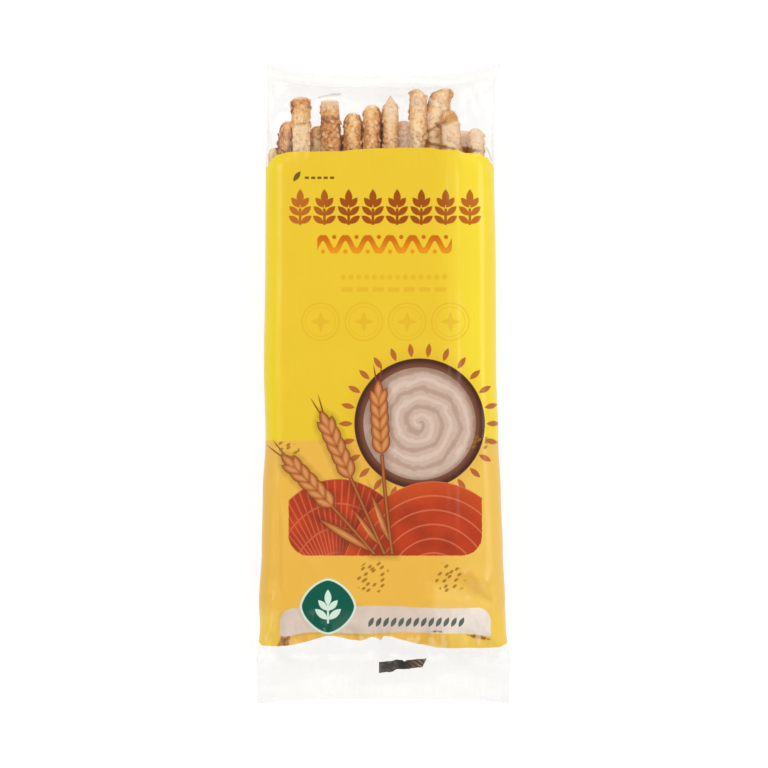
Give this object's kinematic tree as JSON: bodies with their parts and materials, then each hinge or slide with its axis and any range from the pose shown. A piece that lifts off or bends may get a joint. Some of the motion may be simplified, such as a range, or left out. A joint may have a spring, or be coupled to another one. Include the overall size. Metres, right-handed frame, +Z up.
{
  "type": "pack of grissini breadsticks",
  "caption": "Flat sealed film pack of sesame grissini breadsticks, clear at both ends, lying on its back with the printed face up.",
  "frame": {"origin": "on the surface that the pack rests on, under the middle of its box", "axes": "+Y along the pack to its upper end, +X to the right of the printed face, +Z up and out of the printed face"},
  "size_m": [0.1014, 0.2572, 0.017],
  "materials": {
    "printed_film": "satin gloss printed film, lemon yellow over orange yellow",
    "clear_film": "clear glossy film",
    "breadstick": "dry baked crust, pale to golden brown",
    "sesame": "toasted seed",
    "ink": "dark printing ink"
  },
  "bodies": {
    "root": {"sealed_pack": "printed_film"}
  },
  "joints": []
}
